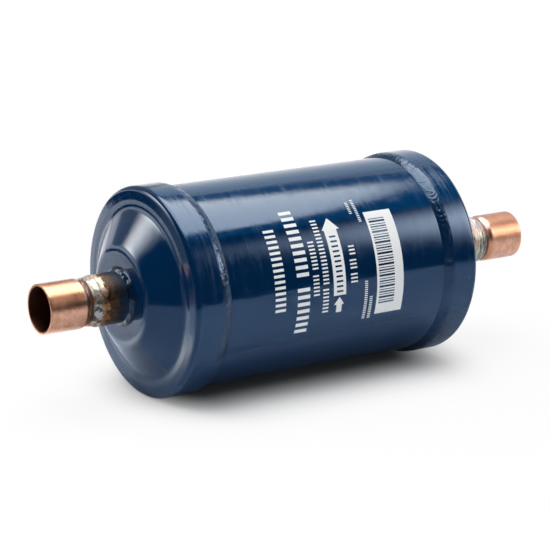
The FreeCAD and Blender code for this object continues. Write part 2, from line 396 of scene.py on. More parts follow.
# The streaks on the caps set in this far inside the skirt's radius, and over this width
STREAK_DEPTH = 0.001
STREAK_EDGE = 0.0006

# The colours of the finishes, each as the two tones that a noise or a stain goes between
NAVY = ((0.0003, 0.0180, 0.062), (0.0006, 0.0220, 0.075))
NAVY_ON_WELD = ((0.0005, 0.013, 0.045), (0.001, 0.020, 0.064))
NAVY_UNDER_SOOT = ((0.001, 0.014, 0.046), (0.003, 0.006, 0.012))
NAVY_AT_FOOT = ((0.001, 0.012, 0.040), (0.002, 0.022, 0.066))
INK = ((0.89, 0.92, 0.94), (0.50, 0.56, 0.64))
SILVER = ((0.30, 0.29, 0.27), (0.64, 0.62, 0.58))
# The filler's tone towards its top
PINK_TOWARDS_TOP = ((0.50, 0.30, 0.29), (0.80, 0.66, 0.64))
FLUX = ((0.018, 0.017, 0.018), (0.12, 0.10, 0.09))
# The nipple's painted highlight along its top
PAINTED_HIGHLIGHT_STEEL = ((0.42, 0.30, 0.22), (0.80, 0.66, 0.54))
BURNT_BROWN = ((0.010, 0.008, 0.008), (0.12, 0.055, 0.028))
BURNT_BLACK = ((0.003, 0.004, 0.006), (0.012, 0.014, 0.018))
COPPER = ((0.64, 0.300, 0.185), (0.84, 0.44, 0.30))
HEATED_COPPER = ((0.62, 0.28, 0.13), (0.80, 0.50, 0.46))
BEADS = ((0.62, 0.53, 0.42), (0.24, 0.18, 0.13))

# Colours of one tone
DUST = (0.35, 0.38, 0.42)
# The painted shade on the copper's top
TOP_SHADE = (0.36, 0.155, 0.095)
COPPER_SPECK = (0.20, 0.075, 0.04)
COPPER_BORE = (0.16, 0.065, 0.035)
PALE_BEADS = (0.72, 0.66, 0.56)
STEEL = (0.52, 0.51, 0.49)
STAINLESS = (0.60, 0.60, 0.58)
SPRING_WIRE = (0.40, 0.39, 0.38)
FILTER_FELT = (0.80, 0.78, 0.70)
SEAL_FELT = (0.46, 0.43, 0.38)

# How deep the fine relief of each finish is
ENAMEL_RELIEF = 0.000022
WELD_RELIEF = 0.00014
INK_RELIEF = 0.00001
NIPPLE_RELIEF = 0.00008
NIPPLE_WELD_RELIEF = 0.00022
BRAZE_RELIEF = 0.00018
COPPER_RELIEF = 0.00006
STEEL_RELIEF = 0.00002
FELT_RELIEF = 0.00025
BEADS_RELIEF = 0.0005

# How the filler lies on each fitting: the grain of its stains and of its drips, and its warm stain
FILLER_STAINS = {"inlet": (480.0, 480.0, 480.0), "outlet": (1500.0, 140.0, 140.0)}
FILLER_DRIPS = {"inlet": (240.0, 560.0, 170.0), "outlet": (1000.0, 120.0, 120.0)}
FILLER_WARMTH = {
    "inlet": ((0.30, 0.12, 0.05), (0.60, 0.30, 0.15)),
    "outlet": ((0.34, 0.30, 0.19), (0.62, 0.57, 0.40)),
}

# How far the heat marked each nipple, as a multiple of the inlet's, and the flash left at its tip
HEAT_REACH = {"inlet": 1.0, "outlet": 2.2}
TIP_FLASH = {
    "inlet": ((0.13, 0.055, 0.025), (0.52, 0.26, 0.11)),
    "outlet": ((0.34, 0.16, 0.11), (0.62, 0.36, 0.27)),
}

# How dull each copper fitting is, and how strongly its top is darkened with painted shade that dims the
# highlight there
COPPER_DULLNESS = {"inlet": 0.17, "outlet": 0.24}
COPPER_TOP_SHADE = {"inlet": 0.45, "outlet": 0.75}


def navy_paint(name, streaked_from, streak_scale, streakiness, waves, dullness, smokiness):
    """Glossy navy enamel, with waves in it, and with faint streaks round the drum beyond a radius."""
    g = material(name)
    point = g.place()
    streaked = g.radius(point).between(streaked_from, streaked_from + STREAK_EDGE)
    streaks = g.noise(point, streak_scale, 3.0, 0.6) * streaked
    cloud = g.noise(point, 55.0, 2.0)
    smoke = g.noise(point, 230.0, 4.0, 0.65)
    orange_peel = g.noise(point, 420.0, 1.0)
    swell = g.noise(point, 95.0, 2.0)
    dust = g.noise(point, 2600.0, 1.0).between(0.74, 0.80)
    streaky = streakiness * streaks.between(0.38, 0.78)
    smoky = smokiness * smoke.between(0.35, 0.75)
    height = orange_peel * 0.35 + streaks * 0.7 + swell * waves
    return g.surface({
        "Base Color": g.blend(dust * 0.10, g.blend(cloud, *NAVY), DUST),
        "Roughness": dullness + streaky + smoky,
        "IOR": ENAMEL_IOR,
        "Specular IOR Level": ENAMEL_MIRROR,
        "Specular Tint": BLUE_SHEEN,
        "Normal": g.bump(height, ENAMEL_RELIEF),
    })


def shell_paint():
    """The enamel on the shell, streaked all over."""
    return navy_paint(
        "navy_shell", streaked_from=0.0, streak_scale=(1400.0, 45.0, 45.0), streakiness=0.12,
        waves=0.6, dullness=0.04, smokiness=0.09,
    )


def cap_paint():
    """The same enamel on the caps, where only the skirt is streaked."""
    return navy_paint(
        "navy_caps", streaked_from=cap_radius - STREAK_DEPTH, streak_scale=(800.0, 30.0, 30.0),
        streakiness=0.16, waves=1.8, dullness=0.08, smokiness=0.08,
    )


def weld_paint():
    """The same enamel over rippled weld metal."""
    g = material("weld_paint")
    point = g.place()
    lumps = g.noise(point, (500.0, 260.0, 260.0), 3.0, 0.55)
    pits = g.noise(point, 1500.0, 2.0)
    return g.surface({
        "Base Color": g.blend(pits, *NAVY_ON_WELD),
        "Roughness": 0.13 + 0.18 * pits,
        "IOR": ENAMEL_IOR,
        "Specular IOR Level": ENAMEL_MIRROR,
        "Specular Tint": BLUE_SHEEN,
        "Normal": g.bump(lumps + 0.35 * pits, WELD_RELIEF),
    })


def white_print():
    """Screen-printed white ink, a little uneven where it lies on the enamel."""
    g = material("white_print")
    point = g.place()
    grain = g.noise(point, 3200.0, 2.0)
    worn = g.noise(point, 900.0, 3.0).between(0.66, 0.80)
    return g.surface({
        "Base Color": g.blend(worn * 0.35, *INK),
        "Roughness": 0.42 + 0.15 * grain,
        "Normal": g.bump(grain, INK_RELIEF),
    })


def filler(g, point, side):
    """Silver filler as it froze: its colour, the dark flux on it and its ridges.

    They are the same at a point on every piece that the filler ran over.
    """
    patches = g.noise(point, 330.0, 3.0, 0.6)
    stains = g.noise(point, FILLER_STAINS[side], 3.0, 0.6)
    fine = g.noise(point, 1900.0, 3.0, 0.6)
    drips = g.noise(point, FILLER_DRIPS[side], 3.0, 0.6)
    # The filler is paler and pinker towards the top, with less flux there
    top = (g.coordinate(point, "Z") + (patches - 0.5) * 0.012).between(0.0030, 0.0055)
    flux = stains.between(0.50, 0.56) * (1.0 - 0.6 * top)
    colour = g.blend(top, g.blend(fine, *FILLER_WARMTH[side]), g.blend(fine, *PINK_TOWARDS_TOP))
    colour = g.blend(drips.between(0.46, 0.52), colour, g.blend(fine, *SILVER))
    colour = g.blend(flux, colour, g.blend(fine, *FLUX))
    return colour, flux, patches + 0.6 * drips + 0.3 * fine


def heated_nipple(side):
    """Steel with a copper flash: filler and gold at the tip, a painted highlight on its top, then brown,
    black and, at the foot, paint.
    """
    g = material(f"{side}_heated_nipple")
    point = g.place()
    patches = g.noise(point, 420.0, 4.0, 0.7)
    fine = g.noise(point, 1300.0, 3.0, 0.6)
    back = nipple_tip[side] - g.axial(point) + (patches - 0.5) * 0.010
    reach = HEAT_REACH[side]

    def past(near, far):
        """0 nearer the tip than near and 1 further back than far, where the heat reached as at the inlet."""
        return back.between(near * reach, far * reach)

    # Painted highlight: the top of the tip gets a paler steel colour, where light from above falls
    top = g.coordinate(point, "Z").between(0.0035, 0.0065)
    colour = g.blend(top, g.blend(fine, *TIP_FLASH[side]), g.blend(fine, *PAINTED_HIGHLIGHT_STEEL))
    colour = g.blend(past(0.0016, 0.0030), colour, g.blend(fine, *BURNT_BROWN))
    colour = g.blend(past(0.0040, 0.0066), colour, g.blend(fine, *BURNT_BLACK))
    colour = g.blend(past(0.0080, 0.0098), colour, g.blend(fine, *NAVY_AT_FOOT))
    filler_colour, flux, ridges = filler(g, point, side)
    edge = back + (ridges - 0.95) * 0.004 - 0.0018 * (reach - 1.0)
    spilt = 1.0 - edge.between(0.0002, 0.0010)
    bare = 1.0 - past(0.0030, 0.0050)
    return g.surface({
        "Base Color": g.blend(spilt, colour, filler_colour),
        "Metallic": 0.85 * bare * (1.0 - 0.7 * flux * spilt),
        "Roughness": 0.24 + 0.28 * fine,
        "Specular IOR Level": 0.3,
        "Normal": g.bump(fine + patches + ridges * spilt, NIPPLE_RELIEF),
    })


def nipple_weld_metal():
    """Painted weld round the foot of a nipple, with soot on it."""
    g = material("nipple_weld_metal")
    point = g.place()
    lumps = g.noise(point, (900.0, 380.0, 380.0), 3.0, 0.6)
    soot = g.noise(point, 300.0, 2.0).between(0.40, 0.60)
    return g.surface({
        "Base Color": g.blend(soot, *NAVY_UNDER_SOOT),
        "Roughness": 0.08 + 0.24 * lumps,
        "IOR": ENAMEL_IOR,
        "Specular IOR Level": 0.9,
        "Specular Tint": BLUE_SHEEN,
        "Normal": g.bump(lumps, NIPPLE_WELD_RELIEF),
    })


def braze_metal(side):
    """Silver filler run round the joint: bright patches and drips, pink and gold stains, dark flux."""
    g = material(f"{side}_braze_metal")
    point = g.place()
    grain = g.noise(point, 1900.0, 3.0, 0.6)
    colour, flux, ridges = filler(g, point, side)
    return g.surface({
        "Base Color": colour,
        "Metallic": 0.9 - 0.7 * flux,
        "Roughness": 0.26 + 0.30 * grain,
        "Normal": g.bump(ridges, BRAZE_RELIEF),
    })


def copper(side):
    """Drawn copper, dulled in clouds, with lengthwise marks, specks, painted shade on its top, a heated end
    and a darker bore.
    """
    g = material(f"{side}_copper")
    point = g.place()
    z = g.coordinate(point, "Z")
    cloud = g.noise(point, 240.0, 4.0, 0.65)
    drawn = g.noise(point, (130.0, 1800.0, 1800.0), 2.0)
    specks = g.noise(point, 950.0, 2.0).between(0.66, 0.72)
    away = mouth[side] - g.axial(point)
    heat = (away + (cloud - 0.5) * 0.010).between(0.0125, 0.0160)
    bore = 1.0 - g.radius(point).between(SOCKET_BORE + 0.0001, SOCKET_BORE + 0.0004)
    filler_colour, flux, ridges = filler(g, point, side)
    spilt = (away + (ridges - 0.95) * 0.006).between(0.0158, 0.0166)
    colour = g.blend(cloud.between(0.3, 0.7), *COPPER)
    # Painted shade: darker towards the top, more at the outlet, to dim the highlight there
    colour = g.blend(z.between(0.0, 0.007) * COPPER_TOP_SHADE[side], colour, TOP_SHADE)
    # Within the heated band the copper is paler and pinker towards the top
    colour = g.blend(heat * 0.8, colour, g.blend(z.between(-0.002, 0.005), *HEATED_COPPER))
    colour = g.blend(spilt, colour, filler_colour)
    colour = g.blend(specks * 0.6, colour, COPPER_SPECK)
    colour = g.blend(bore * 0.85, colour, COPPER_BORE)
    return g.surface({
        "Base Color": colour,
        "Metallic": 1.0 - 0.6 * flux * spilt,
        "Roughness": COPPER_DULLNESS[side] + 0.22 * cloud + 0.06 * drawn + 0.12 * bore,
        "Normal": g.bump(cloud + 0.25 * drawn + 2.0 * ridges * spilt, COPPER_RELIEF),
    })


def darker(tone, share):
    """The tone with only that share of its brightness."""
    return tuple(share * part for part in tone)


def bright_steel(name, tone, marks, roughness):
    """Bare steel with fine marks across it."""
    g = material(name)
    point = g.place()
    lines = g.noise(point, marks, 3.0, 0.6)
    cloud = g.noise(point, 70.0, 2.0)
    return g.surface({
        "Base Color": g.blend(lines, darker(tone, 0.75), tone),
        "Metallic": 1.0,
        "Roughness": roughness + 0.12 * cloud + 0.08 * lines,
        "Normal": g.bump(lines, STEEL_RELIEF),
    })


def felt(name, tone):
    """Pressed fibre felt."""
    g = material(name)
    point = g.place()
    fibres = g.noise(point, 1900.0, 4.0, 0.7)
    lumps = g.noise(point, 240.0, 3.0, 0.6)
    return g.surface({
        "Base Color": g.blend(fibres * 0.6 + lumps * 0.4, darker(tone, 0.62), tone),
        "Roughness": 0.85 + 0.1 * fibres,
        "Sheen Weight": 0.3,
        "Normal": g.bump(fibres + lumps, FELT_RELIEF),
    })


def moulded_beads():
    """Desiccant beads bonded into one porous block."""
    g = material("moulded_beads")
    point = g.place()
    cells = g.node("ShaderNodeTexVoronoi", None, {"Vector": point, "Scale": 700.0}, output="Distance")
    cloud = g.noise(point, 120.0, 3.0)
    colour = g.blend(cells.between(0.15, 0.75), *BEADS)
    return g.surface({
        "Base Color": g.blend(cloud * 0.3, colour, PALE_BEADS),
        "Roughness": 0.80 + 0.15 * cloud,
        "Normal": g.bump(1.0 - cells, BEADS_RELIEF),
    })


def ring_noise(angle, fineness, level):
    """Noise that closes round a ring, with about six lumps to a turn for each 1 of fineness."""
    return noise.noise(Vector((math.cos(angle) * fineness, math.sin(angle) * fineness, level)))


def ripple_relief(side):
    """Weld ripples: crescents that follow each other round the bead, and fade out at its two toes."""
    seed = RIPPLE_SEED[side]

    def relief(i, angle):
        if i > BEAD_STEPS:
            return 0.0
        across = i / BEAD_STEPS
        arc = angle * shell_radius
        bend = 0.9 * math.sin(math.pi * across)
        wander = 1.3 * ring_noise(angle, 6, seed)
        crescent = ((arc / RIPPLE_PITCH[side] + bend + wander) % 1.0) ** 2
        uneven = ring_noise(angle, 14, seed + across * 2)
        rough = ring_noise(angle, 60, seed + across * 6)
        fade = max(0.0, math.sin(math.pi * across)) ** 1.4
        return fade * RIPPLE_HEIGHT[side] * (0.75 * (crescent - 0.4) + 0.9 * uneven + 0.35 * rough)

    return relief


def lumpy_relief(seed, fineness):
    """Uneven metal that has flowed round a joint, with its ends kept in place."""
    def relief(i, angle):
        if i > BEAD_STEPS:
            return 0.0
        across = i / BEAD_STEPS
        uneven = ring_noise(angle, fineness, seed + across * 1.5)
        rough = ring_noise(angle, 3 * fineness, seed + across * 4)
        return math.sin(math.pi * across) * LUMP_HEIGHT * (uneven + 0.4 * rough)

    return relief


def build_shell():
    """The drum's steel tube."""
    inside = shell_radius - SHELL_WALL
    profile = finely([
        (-shell_end, inside),
        (-shell_end, shell_radius),
        (shell_end, shell_radius),
        (shell_end, inside),
    ], SHELL_STRETCH)
    fit(lathe("drum_tube", profile, "outlet", DRUM_STEPS), shell_paint(), "painted_steel", "shell")


def build_cap(side, paint):
    """An end cap: a skirt over the shell, a knee, a rising shoulder, a flat rim, a dome and a boss."""
    profile = finely(rounded(sheet([
        (lip_plane, cap_radius, 0),
        (knee_plane, cap_radius, KNEE_RADIUS),
        (face_plane, crest_radius, CREST_FILLET),
        (face_plane, dome_foot_radius, DOME_FOOT_FILLET),
        (boss_plane, boss_radius, BOSS_FILLET),
        (boss_plane, NIPPLE_RADIUS + NIPPLE_HOLE_CLEARANCE, 0),
    ], CAP_WALL)), CAP_STRETCH)
    fit(lathe(f"{side}_pressed_cap", profile, side, DRUM_STEPS), paint, "painted_steel", f"{side}_cap")


def build_seam(side, paint):
    """The rippled weld ring from the cap's lip to the shell."""
    toe = (lip_plane - SEAM_LENGTH, shell_radius)
    profile = bead(toe, (lip_plane, cap_radius), shell_radius, SEAM_CROWN)
    ring = lathe(f"{side}_seam_bead", profile, side, SEAM_STEPS, ripple_relief(side))
    fit(ring, paint, "painted_weld", f"{side}_seam_weld")


def build_nipple(side):
    """The steel tube through the cap's boss, with a collar that bears on the boss from inside."""
    inside = boss_plane - CAP_WALL
    collar_radius = NIPPLE_RADIUS + COLLAR_WIDTH
    profile = finely(rounded([
        (inside - COLLAR_THICKNESS, NIPPLE_BORE, 0),
        (inside - COLLAR_THICKNESS, collar_radius, 0),
        (inside, collar_radius, 0),
        (inside, NIPPLE_RADIUS, 0),
        (nipple_tip[side], NIPPLE_RADIUS, NIPPLE_TIP_ROUNDING),
        (nipple_tip[side], NIPPLE_BORE, 0),
    ]), NIPPLE_STRETCH)
    tube = lathe(f"{side}_steel_nipple", profile, side, FITTING_STEPS)
    fit(tube, heated_nipple(side), "nipple_steel", f"{side}_nipple")


def build_nipple_weld(side, metal):
    """The small hollow-faced weld ring at the nipple's foot."""
    top = (boss_plane + NIPPLE_WELD_HEIGHT, NIPPLE_RADIUS)
    toe = (boss_plane, NIPPLE_RADIUS + NIPPLE_WELD_WIDTH)
    profile = bead(top, toe, NIPPLE_RADIUS, -NIPPLE_WELD_CROWN)
    lumps = lumpy_relief(NIPPLE_WELD_SEED[side], NIPPLE_WELD_FINENESS)
    ring = lathe(f"{side}_nipple_bead", profile, side, FITTING_STEPS, lumps)
    fit(ring, metal, "painted_weld", f"{side}_nipple_weld")


def build_socket(side):
    """The copper fitting: a neck in the nipple, a taper, and the socket that the pipe goes into."""
    taper_end = nipple_tip[side] + NECK_SHOWING
    taper_start = taper_end + TAPER_LENGTH
    neck_bore = PIPE_RADIUS - PIPE_WALL
    profile = finely(rounded([
        (neck_end[side], PIPE_RADIUS, 0),
        (taper_end, PIPE_RADIUS, TAPER_FILLET),
        (taper_start, socket_radius, TAPER_FILLET),
        (mouth[side], socket_radius, MOUTH_ROUNDING),
        (mouth[side], SOCKET_BORE, MOUTH_ROUNDING),
        (taper_start, SOCKET_BORE, 0),
        (taper_end, neck_bore, 0),
        (neck_end[side], neck_bore, 0),
    ]), SOCKET_STRETCH)
    socket = lathe(f"{side}_copper_socket", profile, side, FITTING_STEPS)
    fit(socket, copper(side), "copper", f"{side}_connector")


def build_braze_joint(side):
    """The ring of filler from the nipple's tip to the copper's taper."""
    foot = (nipple_tip[side], NIPPLE_RADIUS - BRAZE_INSET)
    tip = (nipple_tip[side] + NECK_SHOWING - BRAZE_TAPER_GAP, PIPE_RADIUS + BRAZE_TIP_HEIGHT)
    profile = bead(foot, tip, PIPE_RADIUS, BRAZE_CROWN)
    lumps = lumpy_relief(BRAZE_SEED[side], BRAZE_FINENESS)
    ring = lathe(f"{side}_braze_ring", profile, side, FITTING_STEPS, lumps)
    fit(ring, braze_metal(side), "silver_braze", f"{side}_braze_joint")


def build_caps():
    """At each end the cap, and the weld that joins it to the shell."""
    paint = cap_paint()
    seam_paint = weld_paint()
    for side in OUTWARD:
        build_cap(side, paint)
        build_seam(side, seam_paint)


def build_fittings():
    """At each end the nipple and the copper socket, and the rings that join them."""
    foot_weld = nipple_weld_metal()
    for side in OUTWARD:
        build_nipple(side)
        build_nipple_weld(side, foot_weld)
        build_socket(side)
        build_braze_joint(side)


def dress_inside():
    """Gives the CAD nodes inside the drum their finishes."""
    plain = bright_steel("pressed_steel", STEEL, marks=(60.0, 500.0, 500.0), roughness=0.30)
    filter_felt = felt("filter_felt", FILTER_FELT)
    finishes = {
        "support_plate": plain,
        "spring_plate": plain,
        "outlet_screen": bright_steel("screen_steel", STAINLESS, marks=900.0, roughness=0.25),
        "spring": bright_steel("spring_wire", SPRING_WIRE, marks=700.0, roughness=0.22),
        "outlet_filter_pad": filter_felt,
        "inlet_filter_pad": filter_felt,
        "core_seal_ring": felt("seal_felt", SEAL_FELT),
        "desiccant_core": moulded_beads(),
    }
    for name, finish in finishes.items():
        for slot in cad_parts[name].material_slots:
            slot.link = "OBJECT"
            slot.material = finish


# The white print: marks that stand a hair proud of the drum. Places along the drum and arc lengths
# round it, from the side towards the camera, are in millimetres here.
MM = 0.001
INK_OUTSIDE = 0.03
INK_SUNK = 0.01
INK_STEP = 1.0
INK_GAP = 0.01

# Blocks and the gaps between them, in rows of four sizes
LARGE = (1.35, 1.25)
MIDDLE = (1.0, 1.05)
SMALL = (0.6, 0.75)
FINE = (0.35, 0.4)


class Print:
    """Collects printed marks into one mesh."""

    def __init__(self):
        self.made = bmesh.new()

    def corner(self, x, arc, rise):
        radius = shell_radius + rise * MM
        angle = arc * MM / shell_radius
        return self.made.verts.new((middle + x * MM, -radius * math.cos(angle), radius * math.sin(angle)))

    def strip(self, stations):
        """A closed mark through (arc, left, right) stations."""
        fine = []
        for start, end in zip(stations, stations[1:]):
            parts = max(1, math.ceil((end[0] - start[0]) / INK_STEP))
            for part in range(parts):
                fine.append([a + (b - a) * part / parts for a, b in zip(start, end)])
        fine.append(stations[-1])
        rows = []
        for arc, left, right in fine:
            under = [self.corner(x, arc, -INK_SUNK) for x in (left, right)]
            over = [self.corner(x, arc, INK_OUTSIDE) for x in (left, right)]
            rows.append(under + over)
        for here, there in zip(rows, rows[1:]):
            for i, j in ((0, 1), (1, 3), (3, 2), (2, 0)):
                self.made.faces.new((here[i], here[j], there[j], there[i]))
        for row in (rows[0], rows[-1]):
            self.made.faces.new((row[0], row[1], row[3], row[2]))

    def row(self, left, right, low, high, size):
        """Blocks one after another from low to high."""
        block, gap = size
        at = low
        while at + block <= high:
            self.strip([(at, left, right), (at + block, left, right)])
            at += block + gap

    def field(self, columns, low, bands):
        """One mark of bands that follow each other from low, each with its inked columns.

        columns are the places between and beside the columns. A band is its length and a 1 or 0 for
        each column. There is a wall wherever ink ends.
        """
        arcs = [low]
        inked = []
        for length, pattern in bands:
            parts = math.ceil(length / INK_STEP)
            for _ in range(parts):
                arcs.append(arcs[-1] + length / parts)
                inked.append(pattern)
        corners = {}

        def shared(i, j, rise):
            """The corner that neighbouring faces have in common."""
            if (i, j, rise) not in corners:
                corners[i, j, rise] = self.corner(columns[i], arcs[j], rise)
            return corners[i, j, rise]

        def bare(i, j):
            """Whether there is no ink between those lines."""
            return not (0 <= j < len(inked) and 0 <= i < len(inked[j]) and inked[j][i])

        for j, pattern in enumerate(inked):
            for i in range(len(pattern)):
                if bare(i, j):
                    continue
                ring = [(i, j), (i + 1, j), (i + 1, j + 1), (i, j + 1)]
                for rise in (-INK_SUNK, INK_OUTSIDE):
                    self.made.faces.new([shared(*spot, rise) for spot in ring])
                beside = [(i, j - 1), (i + 1, j), (i, j + 1), (i - 1, j)]
                for here, there, next_cell in zip(ring, ring[1:] + ring[:1], beside):
                    if bare(*next_cell):
                        self.made.faces.new((
                            shared(*here, -INK_SUNK), shared(*there, -INK_SUNK),
                            shared(*there, INK_OUTSIDE), shared(*here, INK_OUTSIDE),
                        ))


def print_rows(marks):
    """Rows of plain blocks, each given by its left, right, low and high edges and its blocks' size."""
    marks.row(-28.0, -23.6, -4.2, 26.6, MIDDLE)
    marks.row(-18.6, -13.4, -13.8, 5.0, LARGE)
    marks.row(-18.6, -13.4, 7.2, 34.0, LARGE)
    marks.row(-11.8, -9.3, -0.4, 7.4, SMALL)
    marks.row(-11.6, -9.1, 9.0, 19.8, SMALL)
    marks.row(-7.8, -5.3, -7.2, 1.6, SMALL)
    marks.row(-7.6, -5.1, 3.2, 27.2, SMALL)
    marks.row(4.4, 7.3, 2.2, 5.6, SMALL)
    marks.row(4.5, 7.4, 7.2, 10.8, SMALL)
    marks.row(5.0, 7.5, 12.2, 16.8, SMALL)
    marks.row(10.2, 11.4, 27.2, 32.6, FINE)
    marks.row(12.8, 14.0, 23.6, 33.6, FINE)
    marks.row(10.4, 11.7, -12.6, 2.6, FINE)
    marks.row(12.7, 14.0, -12.6, -3.8, FINE)


def print_large_arrow(marks):
    """The large arrow, with a row of slots left open in its shaft."""
    foot, neck, tip = -1.6, 22.3, 26.8
    shaft_edges = (-3.2, -1.9, 0.9, 2.1)
    land, slot = 1.1, 0.7
    slots = math.floor((neck - foot - land) / (land + slot))
    last = neck - foot - slots * (land + slot) - INK_GAP
    shaft = [(land, (1, 1, 1)), (slot, (1, 0, 1))] * slots + [(last, (1, 1, 1))]
    marks.field(shaft_edges, foot, shaft)
    marks.strip([(neck, -4.0, 3.4), (tip, -0.2, -0.1)])


def print_small_arrow(marks):
    """The small plain arrow below the large one."""
    foot, neck, tip = -8.0, -5.0, -2.3
    marks.strip([(foot, -1.8, 0.5), (neck - INK_GAP, -1.8, 0.5)])
    marks.strip([(neck, -2.9, 1.4), (tip, -0.75, -0.65)])


def print_panel(marks):
    """The white panel, with a field of bars left open in it."""
    panel_low, bars_low, bars_high, panel_high = -11.5, -7.4, 22.8, 27.0
    edges = (15.8, 16.8, 23.7, 27.6)
    rhythm = ((0.55, 0.45), (0.35, 0.6), (0.8, 0.45), (0.35, 0.45))
    bands = [(bars_low - panel_low, (1, 1, 1))]
    at = bars_low
    while at < bars_high:
        for bar, land in rhythm:
            bands += [(bar, (1, 0, 1)), (land, (1, 1, 1))]
            at += bar + land
    bands.append((panel_high - at, (1, 1, 1)))
    marks.field(edges, panel_low, bands)


def build_print():
    """Plain blocks, bars and arrows where the drum carries print."""
    marks = Print()
    print_rows(marks)
    print_large_arrow(marks)
    print_small_arrow(marks)
    print_panel(marks)
    fit(piece("printed_marks", marks.made), white_print())


# The studio: all of it is stage, and the cards are seen only in reflections. Tints above 1 are
# brighter than white.
WHITE = (1, 1, 1)
SOFTBOX_TINT = (1.03, 1.0, 0.90)
HALO_TINT = (0.0, 0.48, 1.0)
CEILING_TINT = (0.25, 0.62, 1.1)
BACK_LIGHT_TINT = (1.17, 1.0, 0.77)
HAZE_TINT = (1.0, 1.0, 0.92)
GLOW_TINT = (1.05, 1.0, 0.90)
DULL_FLOOR_TINT = (0.93, 1.0, 1.05)
BOUNCE_TINT = (1.03, 1.0, 0.87)

# The sky's light, as a share of its brightness, and its tints in reflections at the horizon and high up
AMBIENT = 0.24
HORIZON_TINT = (1.18, 1.18, 1.22)
HIGH_TINT = (0.74, 0.97, 1.13)

# The floor: its size, the length to either side of the middle over which the drum's shadow, real and
# painted, keeps its width, how much faster it fades past that, and its colours as light, mirrored, seen,
# and as the painted shadow at the contact
FLOOR_REACH = 8.0
SHADE_LENGTH = 0.040
SHADE_END_FADE = 1.5
FLOOR_LIT = (0.86, 0.86, 0.86)
FLOOR_MIRRORED = (0.80, 0.90, 1.0)
FLOOR_SEEN = (0.90, 0.90, 0.90)
FLOOR_PAINTED_SHADOW = (0.06, 0.08, 0.10)

# The cards that stand for the floor in reflections: the height of a layer of them, and their extent
FLOOR_LAYER = 0.0001
FLOOR_EXTENT = (-3.0, 3.0)

# The level cards overhead: their heights, and how far they reach
SOFTBOX_HEIGHT = 1.0
SOFTBOX_EXTENT = (-1.2, 1.2)
HALO_HEIGHT = 1.01
HALO_EXTENT = (-0.5, 1.6)
CEILING_HEIGHT = 1.02

# The screens round the drier
SCREEN_DISTANCE = 2.0
SCREEN_PANELS = 5


def square(low, high, height=0.0):
    """The corners of a level square."""
    return [(low, low, height), (high, low, height), (high, high, height), (low, high, height)]


def stage_piece(name, corners, finish):
    """A flat face that is no part of the drier."""
    mesh = bpy.data.meshes.new(name)
    mesh.from_pydata(corners, [], [tuple(range(len(corners)))])
    thing = bpy.data.objects.new(name, mesh)
    thing.data.materials.append(finish)
    bpy.context.collection.objects.link(thing)
    return thing


def aimed(azimuth, elevation, distance):
    """A point at that azimuth from +X towards +Y, that elevation and that distance."""
    flat = distance * math.cos(math.radians(elevation))
    return Vector((
        flat * math.cos(math.radians(azimuth)),
        flat * math.sin(math.radians(azimuth)),
        distance * math.sin(math.radians(elevation)),
    ))


def card(name, corners, brightness, tint=WHITE, fade=None):
    """A glowing or black card, seen only in reflections; fade gives how solid it is at a point."""
    g = material(name)
    shader = g.node("ShaderNodeEmission", None, {"Color": tint, "Strength": brightness})
    if fade:
        clear = g.node("ShaderNodeBsdfTransparent")
        shader = g.node("ShaderNodeMixShader", None, {0: fade(g), 1: clear, 2: shader})
    g.node("ShaderNodeOutputMaterial", None, {"Surface": shader})
    thing = stage_piece(name, corners, g.owner)
    thing.visible_camera = False
    thing.visible_diffuse = False
    thing.visible_transmission = False
    thing.visible_volume_scatter = False
    thing.visible_shadow = False
    return thing


def round_fade(g):
    """Solid in the middle of a card that reaches from -1 to 1, and clear at its edges."""
    point = g.place()
    x = g.coordinate(point, "X")
    y = g.coordinate(point, "Y")
    return (1.0 - abs(x)).between(0.0, 1.0) * (1.0 - abs(y)).between(0.0, 1.0)


def round_card(name, location, width, height, brightness, tint=WHITE):
    """A level card that fades from its middle to its edges."""
    thing = card(name, square(-1, 1), brightness, tint, round_fade)
    thing.location = location
    thing.scale = (width / 2, height / 2, 1)
    return thing


def soft_card(name, azimuth, elevation, distance, width, height, brightness, tint=WHITE):
    """The same, but facing the drier from its place round it."""
    place = aimed(azimuth, elevation, distance)
    thing = round_card(name, place, width, height, brightness, tint)
    thing.rotation_euler = place.to_track_quat("Z", "Y").to_euler()


def level_card(name, extent, height, outline, brightness, tint=WHITE, ragged=0.0, outside=False):
    """A level card that is solid within a convex outline, or outside it.

    The outline is anticlockwise, of (x, y, softness) corners. The side from each corner to the next
    fades over its softness, and the streaks of ragged make it uneven.
    """
    def fade(g):
        point = g.place()
        x = g.coordinate(point, "X")
        y = g.coordinate(point, "Y")
        wander = 0.0
        if ragged:
            wander = (g.noise(point, (420.0, 4.0, 0.0), 3.0, 0.7) - 0.5) * ragged
            wander = wander + (g.noise(point, (38.0, 4.0, 0.0), 2.0) - 0.5) * ragged
        solid = 1.0
        for (x0, y0, soft), (x1, y1, _) in zip(outline, outline[1:] + outline[:1]):
            along = unit((x0, y0), (x1, y1))
            inside = (y - y0) * along[0] - (x - x0) * along[1] + wander * abs(along[0])
            solid = inside.between(-soft, soft) * solid
        return 1.0 - solid if outside else solid

    card(name, square(*extent, height), brightness, tint, fade)


def screen(name, azimuths, elevations, brightness=0.0):
    """A curved screen between two azimuths and two elevations."""
    low, high = azimuths
    across = [low + (high - low) * i / SCREEN_PANELS for i in range(SCREEN_PANELS + 1)]
    feet = [aimed(azimuth, elevations[0], SCREEN_DISTANCE) for azimuth in across]
    tops = [aimed(azimuth, elevations[1], SCREEN_DISTANCE) for azimuth in across]
    for i in range(SCREEN_PANELS):
        card(f"{name}_{i}", [feet[i], feet[i + 1], tops[i + 1], tops[i]], brightness)


